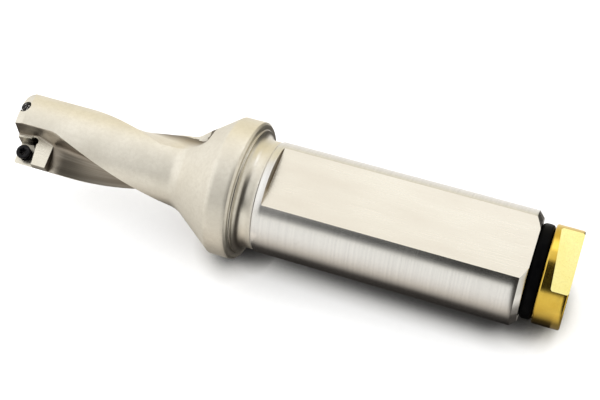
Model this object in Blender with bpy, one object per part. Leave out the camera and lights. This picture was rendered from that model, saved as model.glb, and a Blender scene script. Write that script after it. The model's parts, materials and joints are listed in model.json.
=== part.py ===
"""Indexable drill with a 20 mm cylindrical shank, without its inserts.

The tool is modelled along its own axis (local +X runs from the tip to the
rear, X = 0 is the rear face of the flange) and then laid down on the rim of
the flange and the rear end of the shank.  Angles round the axis are measured
from local +Z towards local +Y.
"""

import math

import bmesh
import bpy
from mathutils import Matrix, Vector

MM = 0.001

# ---------------------------------------------------------------- dimensions
# turned shape (mm)
HEAD_R = 6.685            # fluted head
HEAD_FRONT_X = -45.45     # foremost point of the head
NOSE_R = 6.45             # head radius at its front face
NOSE_X = -45.10           # rear end of the small edge chamfer
TAPER_X = -42.9           # each land is cut back from here by an eccentric cone
TAPER_R = 5.50            # deepest radius of that cut at the front face
TAPER_SHIFT = 1.94        # offset of the cone from the tool axis
TAPER_ANGLE = 23.0        # where the cut is deepest
FRONT_RELIEF = 12.0       # degrees that each land's front face falls away
FRONT_RELIEF_H = 2.02     # distance from the axis where it starts
HEAD_END_X = -13.5        # head runs into the cone
CONE_X = -11.4
CONE_R = 7.26
FLANGE_X = -4.10          # front corner of the flange
FLANGE_R = 12.5
FLANGE_CHAMFER = 0.4
NECK_R = 9.75
NECK_END_X = 3.72
SHANK_R = 10.0
SHANK_CHAMFER_X = 49.2
SHANK_END_X = 50.2
SHANK_END_R = 8.95
PORT_R = 6.10             # rear coolant port
PORT_END_X = 41.0
BORE_R = 2.70             # coolant bore through shank and flange
BORE_END_X = -8.0
DUCT_R = 1.10             # coolant duct in the web of the flutes
DUCT_END_X = -30.0

# clamping flat on the shank
FLAT_X = 5.0
FLAT_ANGLE = 25.0
FLAT_H = 8.15

# flutes (angles in degrees)
HELIX_START_X = -36.5
HELIX_RATE = 3.33         # degrees per mm
FLUTE_EDGE = 6.0          # angle of the heel edge ahead of the helix
FLUTE_WIDTH = 95.7
FLUTE_CORNER_R = 2.30
FLUTE_CORNER_ANGLE = -52.0
FLUTE_FILLET = 1.45
PAD_END_X = -38.2
RUNOUT_X = -17.0
FLUTE_END_X = -7.5
HEEL_CHAMFER = 10.0       # degrees that the second flute's heel is broken by

# seat planes: direction of the seat normal, height of the pad over the axis
SEAT_ANGLE = 16.3
OUTER_PAD_H = 1.08
OUTER_SEAT_H = -1.21
OUTER_TURN = 7.0          # pocket is turned in its own plane
OUTER_CORNER = (-41.596, -1.703)   # rear inner corner at pad height (x, t)
CENTRE_PAD_H = 0.0
CENTRE_SEAT_H = -2.45
CENTRE_TURN = -4.0
CENTRE_MIDDLE = (-43.98, -2.30)
INSERT_SIZE = 5.0
WALL_DRAFT = 11.0
RELIEF_R = 0.80

# insert screws
SCREW_HOLE_R = 1.15
SCREW_R = 0.85
SCREW_HEAD_R = 1.35
SCREW_LENGTH = 4.75
SCREW_RISE = 1.60         # top of the head over the seat

# rear closure
RING_X = (50.52, 52.18)
RING_R = (6.15, 8.12)
PLUG_X = 52.5
PLUG_END_X = 57.3
PLUG_R = 8.58
PLUG_FLAT_X = 54.2
PLUG_FLAT_H = 6.30
PLUG_FLAT_ANGLE = 26.0
SPIGOT_R = 5.78
SPIGOT_X = 42.5

# resting attitude
ROLL = 36.0               # degrees; which side of the tool is uppermost
TILT = math.degrees(math.atan2(FLANGE_R - SHANK_R, SHANK_CHAMFER_X + FLANGE_CHAMFER))
SEGMENTS = 64


# ------------------------------------------------------------------- helpers
def clear_scene():
    for ob in list(bpy.data.objects):
        bpy.data.objects.remove(ob, do_unlink=True)


def material(name, colour, roughness, metallic):
    mat = bpy.data.materials.new(name)
    mat.use_nodes = True
    shader = mat.node_tree.nodes["Principled BSDF"]
    shader.inputs["Base Color"].default_value = (*colour, 1.0)
    shader.inputs["Roughness"].default_value = roughness
    shader.inputs["Metallic"].default_value = metallic
    mat.diffuse_color = (*colour, 1.0)
    return mat


def polar(r, angle):
    """(y, z) of a point at radius r and the given angle round the axis."""
    a = math.radians(angle)
    return r * math.sin(a), r * math.cos(a)


def finish(name, bm, mat=None, parent=None, sharp=30.0):
    bmesh.ops.recalc_face_normals(bm, faces=bm.faces[:])
    mesh = bpy.data.meshes.new(name)
    bm.to_mesh(mesh)
    bm.free()
    mesh.shade_smooth()
    mesh.set_sharp_from_angle(angle=math.radians(sharp))
    ob = bpy.data.objects.new(name, mesh)
    bpy.context.scene.collection.objects.link(ob)
    if mat is not None:
        mesh.materials.append(mat)
    ob.parent = parent
    return ob


def turned(profile, segments, start):
    """Revolve a profile of (x, r) in mm round the X axis."""
    bm = bmesh.new()
    dy, dz = polar(1.0, start)
    verts = [bm.verts.new((x * MM, r * dy * MM, r * dz * MM)) for x, r in profile]
    edges = [bm.edges.new(pair) for pair in zip(verts, verts[1:])]
    bmesh.ops.spin(bm, geom=verts + edges, cent=(0, 0, 0), axis=(1, 0, 0),
                   angle=2 * math.pi, steps=segments, use_duplicate=False)
    bmesh.ops.remove_doubles(bm, verts=bm.verts[:], dist=1e-6)
    bmesh.ops.dissolve_degenerate(bm, edges=bm.edges[:], dist=1e-7)
    return bm


def loft(rings, hubs=None):
    """Skin a row of closed rings with the same number of points.

    hubs are the points that the two end caps fan out from, where a cap isn't convex.
    """
    bm = bmesh.new()
    rows = [[bm.verts.new(Vector(p) * MM) for p in ring] for ring in rings]
    n = len(rows[0])
    for a, b in zip(rows, rows[1:]):
        for i in range(n):
            j = (i + 1) % n
            bm.faces.new((a[i], a[j], b[j], b[i]))
    for row, k in ((rows[0], 0), (rows[-1], 1)):
        if hubs is None:
            bm.faces.new(row)
        else:
            hub = bm.verts.new(Vector(hubs[k]) * MM)
            for i in range(n):
                bm.faces.new((row[i], row[(i + 1) % n], hub))
    bmesh.ops.triangulate(bm, faces=bm.faces[:])
    return bm


def cutter(name, bm, target):
    """Turn a mesh into a hidden cutter and subtract it from the target."""
    ob = finish(name, bm, parent=target.parent)
    ob.hide_render = True
    ob.display_type = "WIRE"
    mod = target.modifiers.new(name, "BOOLEAN")
    mod.operation = "DIFFERENCE"
    mod.solver = "EXACT"
    mod.object = ob
    return ob


def plane_point(x, t, h, flip):
    """Point in the seat frame: t lies in the seat plane, h along its normal.

    flip = -1 turns the frame half a turn round the tool axis.
    """
    a = math.radians(SEAT_ANGLE)
    y = h * math.sin(a) + t * math.cos(a)
    z = h * math.cos(a) - t * math.sin(a)
    return (x, flip * y, flip * z)


def rod(start, end, radius, segments=20):
    """Round bar between two points (mm)."""
    start, end = Vector(start), Vector(end)
    bm = bmesh.new()
    bmesh.ops.create_cone(bm, cap_ends=True, segments=segments, radius1=radius * MM,
                          radius2=radius * MM, depth=(end - start).length * MM)
    rot = (end - start).to_track_quat("Z", "Y").to_matrix().to_4x4()
    bmesh.ops.transform(bm, matrix=Matrix.Translation((start + end) * 0.5 * MM) @ rot,
                        verts=bm.verts[:])
    return bm


# --------------------------------------------------------------- flute shape
def body_radius(x):
    if x < HEAD_END_X:
        return HEAD_R
    if x < CONE_X:
        s = (x - HEAD_END_X) / (CONE_X - HEAD_END_X)
        return HEAD_R + (CONE_R - HEAD_R) * s * s
    return CONE_R + (FLANGE_R - CONE_R) * (x - CONE_X) / (FLANGE_X - CONE_X)


def heel_angle(x):
    """Angle of the heel edge of the first flute."""
    d = x - HELIX_START_X
    w = 0.8
    if d < -w:
        run = 0.0
    elif d > w:
        run = d
    else:
        run = (d + w) ** 2 / (4 * w)
    return FLUTE_EDGE - HELIX_RATE * run


def flute_ring(x, pad, second):
    """Outline of one flute at x, open towards the outside of the head."""
    rb = body_radius(x)
    e0 = heel_angle(x)
    a = math.radians(SEAT_ANGLE)
    if pad:
        h = CENTRE_PAD_H if second else OUTER_PAD_H
        if second:
            t = 0.90
        elif x < -41.3:
            t = -1.05 + 0.128 * (x + 41.3)
        else:
            t = -1.05 - 0.29 * (x + 41.3)
        foot = Vector((h * math.sin(a) + t * math.cos(a), h * math.cos(a) - t * math.sin(a)))
        e1 = SEAT_ANGLE - math.degrees(math.acos(h / rb))
        fillet = 0.35
    else:
        s = max(0.0, (x - RUNOUT_X) / (FLUTE_END_X - RUNOUT_X))
        corner = FLUTE_CORNER_R + (body_radius(FLUTE_END_X) + 0.25 - FLUTE_CORNER_R) * s ** 1.7
        foot = Vector(polar(corner, e0 + FLUTE_CORNER_ANGLE * (1 - s) - 20.0 * s))
        e1 = e0 - FLUTE_WIDTH * (1 - s) - 78.0 * s
        fillet = FLUTE_FILLET
    rim_angle = e0
    heel = Vector(polar(rb, e0))
    lead = Vector(polar(rb, e1))
    lift = 1.0 + 0.035 * s_out(x)
    inner = None
    if second and not pad:
        # the heel of this flute is broken by a chamfer that leads into the wall
        k = min(1.0, max(0.0, (x + 37.5) / 7.5))
        k = k * k * (3.0 - 2.0 * k)
        rim_angle = e0 - HEEL_CHAMFER * k - 12.0 * s
        foot = Vector(polar(corner, e0 + FLUTE_CORNER_ANGLE * (1 - s) - 38.0 * s))
        sharp = Vector(polar(rb, rim_angle - 8.0 * k))
        wall = sharp - foot
        inner = foot + wall * max(0.55, 1.0 - (0.25 + 0.55 * k) / wall.length)
        heel = Vector(polar(rb, rim_angle))
    heel, lead = heel * lift, lead * lift
    u = (heel if inner is None else inner) - foot
    v = (lead - foot)
    fillet = min(fillet, 0.45 * u.length, 0.45 * v.length)
    un, vn = u.normalized(), v.normalized()
    half = math.acos(max(-1.0, min(1.0, un.dot(vn)))) / 2
    steps = 6
    if half > math.radians(89.0):
        p0, p1 = foot + un * fillet, foot + vn * fillet
        arc = [p0.lerp(p1, i / steps) for i in range(steps + 1)]
    else:
        cut = fillet / math.tan(half)
        cut = min(cut, 0.45 * u.length, 0.45 * v.length)
        radius = cut * math.tan(half)
        centre = foot + (un + vn).normalized() * (radius / math.sin(half))
        p0, p1 = foot + un * cut - centre, foot + vn * cut - centre
        turn = p0.angle_signed(p1)
        arc = []
        for i in range(steps + 1):
            q = p0.copy()
            q.rotate(Matrix.Rotation(-turn * i / steps, 2))
            arc.append(centre + q)
    out = rb + 4.0
    mid = (e0 + e1) / 2
    flat = [Vector(polar(out, rim_angle)), heel, heel.lerp(arc[0], 0.5) if inner is None else inner]
    flat += arc
    flat += [arc[-1].lerp(lead, 0.33), arc[-1].lerp(lead, 0.66), lead, Vector(polar(out, e1)),
             Vector(polar(out * 1.25, mid - 16)), Vector(polar(out * 1.25, mid + 16))]
    sign = -1.0 if second else 1.0
    return [(x, sign * p.x, sign * p.y) for p in flat]


def s_out(x):
    return max(0.0, (x - RUNOUT_X) / (FLUTE_END_X - RUNOUT_X))


def flute(second):
    rings = []
    for x in (-48.0, -45.2, -43.2, -41.3, -40.2, -39.2, PAD_END_X):
        rings.append(flute_ring(x, True, second))
    rings.append(flute_ring(PAD_END_X + 0.02, False, second))
    for x in (-37.5, -37.0, -36.5, -36.0, -35.4):
        rings.append(flute_ring(x, False, second))
    x = -34.0
    while x < RUNOUT_X + 0.01:
        rings.append(flute_ring(x, False, second))
        x += 1.7
    steps = 11
    for i in range(1, steps + 1):
        rings.append(flute_ring(RUNOUT_X + (FLUTE_END_X - RUNOUT_X) * i / steps, False, second))
    # the outer corners of a ring are its first and its last three points
    hubs = []
    for ring in (rings[0], rings[-1]):
        ends = [Vector(ring[i]) for i in (0, -3, -2, -1)]
        hubs.append(sum(ends, Vector()) / 4)
    return loft(rings, hubs)


# ------------------------------------------------------------------- pockets
def pocket(turn, corner, wall_h, seat_h, top_h, forward, outward, flip, side=-1.0):
    """Square insert pocket with drafted walls.

    corner is its rear corner (x, t) at height wall_h.  The pocket runs
    forward from it, and in the direction side along t.
    """
    ca, sa = math.cos(math.radians(turn)), math.sin(math.radians(turn))
    tan = math.tan(math.radians(WALL_DRAFT))
    rings = []
    for h in (seat_h, top_h):
        d = (h - wall_h) * tan
        points = []
        for f, o in ((d, d), (-forward, d), (-forward, -outward), (d, -outward)):
            # f runs along the side wall to the rear, o across it
            across = -side * o
            x = corner[0] + ca * f - sa * across
            t = corner[1] + sa * f + ca * across
            points.append(plane_point(x, t, h, flip))
        rings.append(points)
    return loft(rings)


def screw(name, x, t, seat_h, flip, mat, parent):
    """Countersunk screw with a round-bottomed socket, standing on its own axis."""
    top = seat_h + SCREW_RISE
    profile = [(-1.0, 0.0), (-1.0, 0.62), (0.0, 0.72), (0.0, SCREW_HEAD_R - 0.08),
               (-0.08, SCREW_HEAD_R), (-0.30, SCREW_HEAD_R), (-1.10, SCREW_R),
               (-SCREW_LENGTH + 0.25, SCREW_R), (-SCREW_LENGTH, SCREW_R - 0.25),
               (-SCREW_LENGTH, 0.0)]
    bm = turned(profile, 24, 0.0)
    ob = finish(name, bm, mat, parent)
    a = math.radians(SEAT_ANGLE)
    normal = Vector((0.0, flip * math.sin(a), flip * math.cos(a)))
    ob.rotation_mode = "QUATERNION"
    ob.rotation_quaternion = normal.to_track_quat("X", "Z")
    ob.location = Vector(plane_point(x, t, top, flip)) * MM
    return ob


# --------------------------------------------------------------------- build
def main():
    clear_scene()

    nickel = material("nickel_plated_steel", (0.80, 0.76, 0.68), 0.34, 1.0)
    black = material("black_oxide_steel", (0.02, 0.02, 0.022), 0.38, 0.6)
    rubber = material("black_rubber", (0.015, 0.015, 0.015), 0.42, 0.0)
    brass = material("brass", (0.86, 0.63, 0.22), 0.26, 1.0)

    frame = bpy.data.objects.new("tool_axis", None)
    bpy.context.scene.collection.objects.link(frame)

    # a facet of every turned surface faces the ground, so the tool lies on it
    ground = ROLL - 180.0
    start = ground + 180.0 / SEGMENTS

    # ---- body: tip, head, cone, flange, neck, shank, coolant port and bore
    profile = [
        (HEAD_FRONT_X, 0.0), (HEAD_FRONT_X, NOSE_R), (NOSE_X, HEAD_R), (HEAD_END_X, HEAD_R),
        (HEAD_END_X + 0.8, body_radius(HEAD_END_X + 0.8)),
        (HEAD_END_X + 1.5, body_radius(HEAD_END_X + 1.5)),
        (CONE_X, CONE_R), (FLANGE_X, FLANGE_R), (-FLANGE_CHAMFER, FLANGE_R),
        (0.0, FLANGE_R - FLANGE_CHAMFER), (0.0, 11.3), (0.28, 11.1), (0.28, 10.5),
        (0.55, 10.05), (1.05, NECK_R + 0.05), (1.7, NECK_R), (NECK_END_X - 0.25, NECK_R),
        (NECK_END_X, SHANK_R), (SHANK_CHAMFER_X, SHANK_R), (SHANK_END_X, SHANK_END_R),
        (SHANK_END_X, PORT_R), (PORT_END_X, PORT_R), (PORT_END_X - 1.6, BORE_R),
        (BORE_END_X, BORE_R), (BORE_END_X - 1.2, DUCT_R), (DUCT_END_X, DUCT_R),
        (DUCT_END_X - 0.6, 0.0),
    ]
    body = finish("drill_body", turned(profile, SEGMENTS, start), nickel, frame)

    cutter("cut_flute_one", flute(False), body)
    cutter("cut_flute_two", flute(True), body)

    # each land tapers towards the front on its lower side only
    a0, a1 = HEAD_FRONT_X - 1.5, TAPER_X + 0.6
    slope = (HEAD_R - TAPER_R) / (TAPER_X - HEAD_FRONT_X)
    c0, c1 = (TAPER_R + TAPER_SHIFT + slope * (a - HEAD_FRONT_X) for a in (a0, a1))
    for i, turn in enumerate((0.0, 180.0)):
        bm = turned([(a0, c0), (a1, c1), (a1, 15.0), (a0, 15.0), (a0, c0)], SEGMENTS,
                    TAPER_ANGLE + turn)
        dy, dz = polar(TAPER_SHIFT * MM, TAPER_ANGLE + turn)
        bmesh.ops.translate(bm, vec=(0.0, -dy, -dz), verts=bm.verts[:])
        cutter("cut_taper_%d" % (i + 1), bm, body)

    # relief of the front face behind each cutting edge
    for i, flip in enumerate((1.0, -1.0)):
        slope = math.tan(math.radians(FRONT_RELIEF))
        near, far = flip * FRONT_RELIEF_H, flip * (FRONT_RELIEF_H + 10.0)
        rings = []
        for y in (-12.0, 12.0):
            rings.append([(HEAD_FRONT_X - 3.0, y, near), (HEAD_FRONT_X, y, near),
                          (HEAD_FRONT_X + slope * 10.0, y, far),
                          (HEAD_FRONT_X - 3.0, y, far)])
        cutter("cut_front_relief_%d" % (i + 1), loft(rings), body)

    # pocket of the outer insert, with its corner relief and screw hole
    cutter("cut_outer_pocket",
           pocket(OUTER_TURN, OUTER_CORNER, OUTER_PAD_H, OUTER_SEAT_H, OUTER_PAD_H + 1.2,
                  9.0, 9.0, 1.0), body)
    ca, sa = math.cos(math.radians(OUTER_TURN)), math.sin(math.radians(OUTER_TURN))
    half = INSERT_SIZE / 2
    ox = OUTER_CORNER[0] - half * ca + half * sa
    ot = OUTER_CORNER[1] - half * sa - half * ca
    cutter("cut_outer_relief",
           rod(plane_point(OUTER_CORNER[0] - 0.55, OUTER_CORNER[1] - 0.55, OUTER_SEAT_H - 0.5, 1.0),
               plane_point(OUTER_CORNER[0] - 0.55, OUTER_CORNER[1] - 0.55, OUTER_PAD_H + 0.6, 1.0),
               RELIEF_R), body)
    cutter("cut_outer_screw_hole",
           rod(plane_point(ox, ot, -8.0, 1.0), plane_point(ox, ot, 0.2, 1.0), SCREW_HOLE_R), body)

    # pocket of the centre insert on the other side
    cc, sc = math.cos(math.radians(CENTRE_TURN)), math.sin(math.radians(CENTRE_TURN))
    corner = (CENTRE_MIDDLE[0] + half * cc + half * sc, CENTRE_MIDDLE[1] + half * sc - half * cc)
    cutter("cut_centre_pocket",
           pocket(CENTRE_TURN, corner, CENTRE_PAD_H, CENTRE_SEAT_H, CENTRE_PAD_H + 0.8,
                  9.0, INSERT_SIZE + 0.1, -1.0, side=1.0), body)
    rx, rt = corner[0] - 0.55, corner[1] + 0.55
    cutter("cut_centre_relief",
           rod(plane_point(rx, rt, CENTRE_SEAT_H - 0.5, -1.0),
               plane_point(rx, rt, CENTRE_PAD_H + 0.6, -1.0), RELIEF_R), body)
    mx, mt = CENTRE_MIDDLE
    cutter("cut_centre_screw_hole",
           rod(plane_point(mx, mt, -8.0, -1.0), plane_point(mx, mt, -1.0, -1.0), SCREW_HOLE_R), body)

    # coolant outlets, one in each land
    tip = (DUCT_END_X, 0.0, 0.0)
    cutter("cut_outlet_one", rod(tip, plane_point(-46.0, -2.1, -3.7, 1.0), 0.60, 14), body)
    cutter("cut_outlet_two", rod(tip, plane_point(-46.0, -0.26, 4.4, 1.0), 0.48, 14), body)

    # clamping flat, open at the rear end of the shank
    rings = []
    for x in (FLAT_X, SHANK_END_X + 3.0):
        ring = []
        for t, h in ((-9.0, FLAT_H), (9.0, FLAT_H), (9.0, FLAT_H + 6.0), (-9.0, FLAT_H + 6.0)):
            a = math.radians(FLAT_ANGLE)
            ring.append((x, h * math.sin(a) + t * math.cos(a), h * math.cos(a) - t * math.sin(a)))
        rings.append(ring)
    cutter("cut_flat", loft(rings), body)

    # ---- insert screws, left in their holes
    screw("outer_insert_screw", ox, ot, OUTER_SEAT_H, 1.0, black, frame)
    screw("centre_insert_screw", mx, mt, CENTRE_SEAT_H, -1.0, black, frame)

    # ---- seal ring round the spigot of the plug
    x0, x1 = RING_X
    r0, r1 = RING_R
    xm, rm = (x0 + x1) / 2, (r0 + r1) / 2
    ring_profile = []
    for i in range(13):
        a = 2 * math.pi * i / 12
        ring_profile.append((xm + (x1 - x0) / 2 * math.cos(a), rm + (r1 - r0) / 2 * math.sin(a)))
    bm = turned(ring_profile, 48, start)
    finish("seal_ring", bm, rubber, frame, sharp=70.0)

    # ---- plug: round head with two wrench flats, spigot in the port
    profile = [(SPIGOT_X, 0.0), (SPIGOT_X, SPIGOT_R - 0.6), (SPIGOT_X + 0.6, SPIGOT_R),
               (PLUG_X, SPIGOT_R), (PLUG_X, PLUG_R - 0.25), (PLUG_X + 0.25, PLUG_R),
               (PLUG_END_X - 0.35, PLUG_R), (PLUG_END_X, PLUG_R - 0.35), (PLUG_END_X, 0.0)]
    plug = finish("coolant_plug", turned(profile, 48, start), brass, frame)
    for i, turn in enumerate((0.0, 180.0)):
        rings = []
        for x in (PLUG_FLAT_X, PLUG_END_X + 2.0):
            ring = []
            for t, h in ((-9.0, PLUG_FLAT_H), (9.0, PLUG_FLAT_H), (9.0, 12.0), (-9.0, 12.0)):
                a = math.radians(PLUG_FLAT_ANGLE + turn)
                ring.append((x, h * math.sin(a) + t * math.cos(a),
                             h * math.cos(a) - t * math.sin(a)))
            rings.append(ring)
        cutter("cut_wrench_flat_%d" % (i + 1), loft(rings), plug)

    # ---- lay the tool down and put the origin under the middle of its box
    frame.rotation_euler = (math.radians(ROLL), math.radians(TILT), 0.0)
    bpy.context.view_layer.update()
    shown = [ob for ob in bpy.context.scene.objects if ob.type == "MESH" and not ob.hide_render]
    graph = bpy.context.evaluated_depsgraph_get()
    low, high = Vector((1e9,) * 3), Vector((-1e9,) * 3)
    for ob in shown:
        ev = ob.evaluated_get(graph)
        for v in ev.data.vertices:
            p = ev.matrix_world @ v.co
            low = Vector(map(min, low, p))
            high = Vector(map(max, high, p))
    frame.location = (-(low.x + high.x) / 2, -(low.y + high.y) / 2, -low.z)
    bpy.context.view_layer.update()


main()
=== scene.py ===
"""Surface model, finishes, light and camera for the indexable drill.

Fine meshes are built in the tool's own axis frame in millimetres (local +X from the
tip to the rear, X = 0 on the rear face of the flange) and stand where the solids are.
"""
import json
import math

import bmesh
import bpy
from mathutils import Euler, Matrix, Vector

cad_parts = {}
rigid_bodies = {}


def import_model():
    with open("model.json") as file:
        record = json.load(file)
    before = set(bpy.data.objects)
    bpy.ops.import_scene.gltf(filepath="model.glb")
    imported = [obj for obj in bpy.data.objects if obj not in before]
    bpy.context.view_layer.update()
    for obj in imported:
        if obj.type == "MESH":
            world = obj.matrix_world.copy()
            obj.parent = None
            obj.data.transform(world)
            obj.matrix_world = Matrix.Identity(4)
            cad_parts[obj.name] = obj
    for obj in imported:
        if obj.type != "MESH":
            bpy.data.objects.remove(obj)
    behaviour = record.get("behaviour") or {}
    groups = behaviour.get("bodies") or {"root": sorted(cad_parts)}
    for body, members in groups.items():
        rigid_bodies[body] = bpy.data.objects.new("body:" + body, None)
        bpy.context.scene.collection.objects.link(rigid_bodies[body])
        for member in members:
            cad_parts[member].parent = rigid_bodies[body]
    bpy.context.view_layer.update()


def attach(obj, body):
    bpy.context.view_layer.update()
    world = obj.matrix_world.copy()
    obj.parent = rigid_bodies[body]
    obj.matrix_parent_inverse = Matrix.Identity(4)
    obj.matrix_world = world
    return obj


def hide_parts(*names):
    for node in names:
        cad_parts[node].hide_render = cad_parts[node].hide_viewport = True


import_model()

MM = 0.001

# ------------------------------------------------------------ resting attitude
ROLL = 36.0
TILT = math.degrees(math.atan2(12.5 - 10.0, 49.2 + 0.4))
ORIGIN = (-0.005972335, 0.0, 0.012451986)
TOOL = Matrix.Translation(ORIGIN) @ Euler((math.radians(ROLL), math.radians(TILT), 0.0)).to_matrix().to_4x4()

# ---------------------------------------------------------------- dimensions
HEAD_R = 6.685
HEAD_FRONT_X = -45.45
HEAD_END_X = -13.5
CONE_X = -11.4
CONE_R = 7.26
FLANGE_X = -4.10
FLANGE_R = 12.5
NECK_R = 9.75
SHANK_R = 10.0
TAPER_X = -42.9
TAPER_R = 5.50
TAPER_SHIFT = 1.94
TAPER_ANGLE = 23.0
FRONT_RELIEF = 12.0
FRONT_RELIEF_H = 2.02
SPLIT_X = -6.6            # the head and the shank are cut apart here while they are built

FLAT_X = 5.0
FLAT_ANGLE = 25.0
FLAT_H = 8.15

HELIX_START_X = -36.5
HELIX_RATE = 3.33
FLUTE_EDGE = 6.0
FLUTE_WIDTH = 87.0
FLUTE_CORNER_R = 2.30
FLUTE_CORNER_ANGLE = -52.0
FLUTE_FILLET = 1.45
PAD_END_X = -38.2
RUNOUT_X = -17.0
FLUTE_END_X = -7.5
HEEL_CHAMFER = 10.0

SEAT_ANGLE = 16.3
OUTER_PAD_H = 1.08
OUTER_SEAT_H = -1.21
OUTER_TURN = 7.0
OUTER_CORNER = (-41.596, -1.703)
CENTRE_PAD_H = 0.0
CENTRE_SEAT_H = -2.45
CENTRE_TURN = -4.0
CENTRE_MIDDLE = (-43.98, -2.30)
INSERT_SIZE = 5.0
WALL_DRAFT = 11.0
RELIEF_R = 0.80
SCREW_HOLE_R = 1.15
SCREW_RISE = 1.60

NICKEL, GROUND, FLUTE, POCKET, FLAT, BORE = range(6)


# -------------------------------------------------------------- mesh helpers
def polar(r, angle):
    a = math.radians(angle)
    return r * math.sin(a), r * math.cos(a)


def smooth(t):
    t = min(1.0, max(0.0, t))
    return t * t * (3.0 - 2.0 * t)


def steps_between(a, b, step):
    n = max(1, int(math.ceil(abs(b - a) / step)))
    return [a + (b - a) * i / n for i in range(n + 1)]


def new_object(name, bm, materials=(), sharp=28.0):
    bmesh.ops.recalc_face_normals(bm, faces=bm.faces[:])
    mesh = bpy.data.meshes.new(name)
    bm.to_mesh(mesh)
    bm.free()
    for mat in materials:
        mesh.materials.append(mat)
    mesh.shade_smooth()
    mesh.set_sharp_from_angle(angle=math.radians(sharp))
    ob = bpy.data.objects.new(name, mesh)
    bpy.context.scene.collection.objects.link(ob)
    return ob


def lay_down(ob, node, place=None):
    """Bring a finished piece from the tool's own frame into the scene and hand it over."""
    ob.data.transform(TOOL @ place if place is not None else TOOL)
    ob.data.update()
    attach(ob, "root")
    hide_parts(node)
    return ob


def revolve(profile, segments, start=0.0, closed=False, index=None):
    """Turn a profile of (x, r) in mm round the X axis; index(x, r) picks a face's material."""
    bm = bmesh.new()
    rows = []
    for x, r in profile:
        if r < 1e-9:
            rows.append([bm.verts.new((x * MM, 0.0, 0.0))])
        else:
            row = []
            for i in range(segments):
                y, z = polar(r, start + 360.0 * i / segments)
                row.append(bm.verts.new((x * MM, y * MM, z * MM)))
            rows.append(row)
    pairs = list(zip(rows, rows[1:]))
    if closed:
        pairs.append((rows[-1], rows[0]))
    for k, (a, b) in enumerate(pairs):
        nxt = profile[(k + 1) % len(profile)]
        mat = index((profile[k][0] + nxt[0]) / 2, (profile[k][1] + nxt[1]) / 2) if index else 0
        for i in range(segments):
            j = (i + 1) % segments
            if len(a) == 1 and len(b) == 1:
                continue
            if len(a) == 1:
                f = bm.faces.new((a[0], b[j], b[i]))
            elif len(b) == 1:
                f = bm.faces.new((a[i], a[j], b[0]))
            else:
                f = bm.faces.new((a[i], a[j], b[j], b[i]))
            f.material_index = mat
    return bm


def loft(rings, hubs=None):
    bm = bmesh.new()
    rows = [[bm.verts.new(Vector(p) * MM) for p in ring] for ring in rings]
    n = len(rows[0])
    for a, b in zip(rows, rows[1:]):
        for i in range(n):
            j = (i + 1) % n
            bm.faces.new((a[i], a[j], b[j], b[i]))
    for row, k in ((rows[0], 0), (rows[-1], 1)):
        if hubs is None:
            bm.faces.new(row)
        else:
            hub = bm.verts.new(Vector(hubs[k]) * MM)
            for i in range(n):
                bm.faces.new((row[i], row[(i + 1) % n], hub))
    bmesh.ops.triangulate(bm, faces=bm.faces[:])
    return bm


def bar(points, segments=40):
    """Round bar along a line; points are (position in mm, radius in mm) along it."""
    axis = (Vector(points[-1][0]) - Vector(points[0][0])).normalized()
    side = axis.orthogonal().normalized()
    other = axis.cross(side)
    rings = []
    for p, r in points:
        ring = []
        for i in range(segments):
            a = 2 * math.pi * i / segments
            ring.append(Vector(p) + (side * math.cos(a) + other * math.sin(a)) * r)
        rings.append(ring)
    return loft(rings, [points[0][0], points[-1][0]])


def carve(target, cutters):
    """Subtract the cutters, (mesh, material index) each, and keep the result as the target's mesh."""
    made = []
    for k, (bm, mat) in enumerate(cutters):
        cut = new_object("cut_%d" % k, bm, target_materials)
        for p in cut.data.polygons:
            p.material_index = mat
        mod = target.modifiers.new("cut_%d" % k, "BOOLEAN")
        mod.operation = "DIFFERENCE"
        mod.solver = "EXACT"
        mod.material_mode = "INDEX"
        mod.object = cut
        made.append(cut)
    bpy.context.view_layer.update()
    graph = bpy.context.evaluated_depsgraph_get()
    mesh = bpy.data.meshes.new_from_object(target.evaluated_get(graph))
    target.modifiers.clear()
    old = target.data
    target.data = mesh
    bpy.data.meshes.remove(old)
    for cut in made:
        data = cut.data
        bpy.data.objects.remove(cut, do_unlink=True)
        bpy.data.meshes.remove(data)


def plane_point(x, t, h, flip):
    a = math.radians(SEAT_ANGLE)
    y = h * math.sin(a) + t * math.cos(a)
    z = h * math.cos(a) - t * math.sin(a)
    return (x, flip * y, flip * z)


# --------------------------------------------------------------- flute shape
def body_radius(x):
    if x < HEAD_END_X:
        return HEAD_R
    if x < CONE_X:
        s = (x - HEAD_END_X) / (CONE_X - HEAD_END_X)
        return HEAD_R + (CONE_R - HEAD_R) * s * s
    return CONE_R + (FLANGE_R - CONE_R) * (x - CONE_X) / (FLANGE_X - CONE_X)


def heel_angle(x):
    d = x - HELIX_START_X
    w = 0.8
    if d < -w:
        run = 0.0
    elif d > w:
        run = d
    else:
        run = (d + w) ** 2 / (4 * w)
    return FLUTE_EDGE - HELIX_RATE * run


def run_out(x):
    return max(0.0, (x - RUNOUT_X) / (FLUTE_END_X - RUNOUT_X))


EDGE_BREAK = 0.09         # small chamfer where a flute meets the outside
FAR_CORNER_X = -25.0      # from here on the second flute has its corner close under its far edge
FAR_CORNER_R = 6.30
FAR_EXIT_X = -10.9
FAR_END_X = -7.9


def far_rim(x):
    """Angle of the second flute's far edge, in the turned frame in which both flutes are drawn."""
    return heel_angle(x) - HEEL_CHAMFER * smooth((x + 37.5) / 7.5) - 12.0 * run_out(x)


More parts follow.
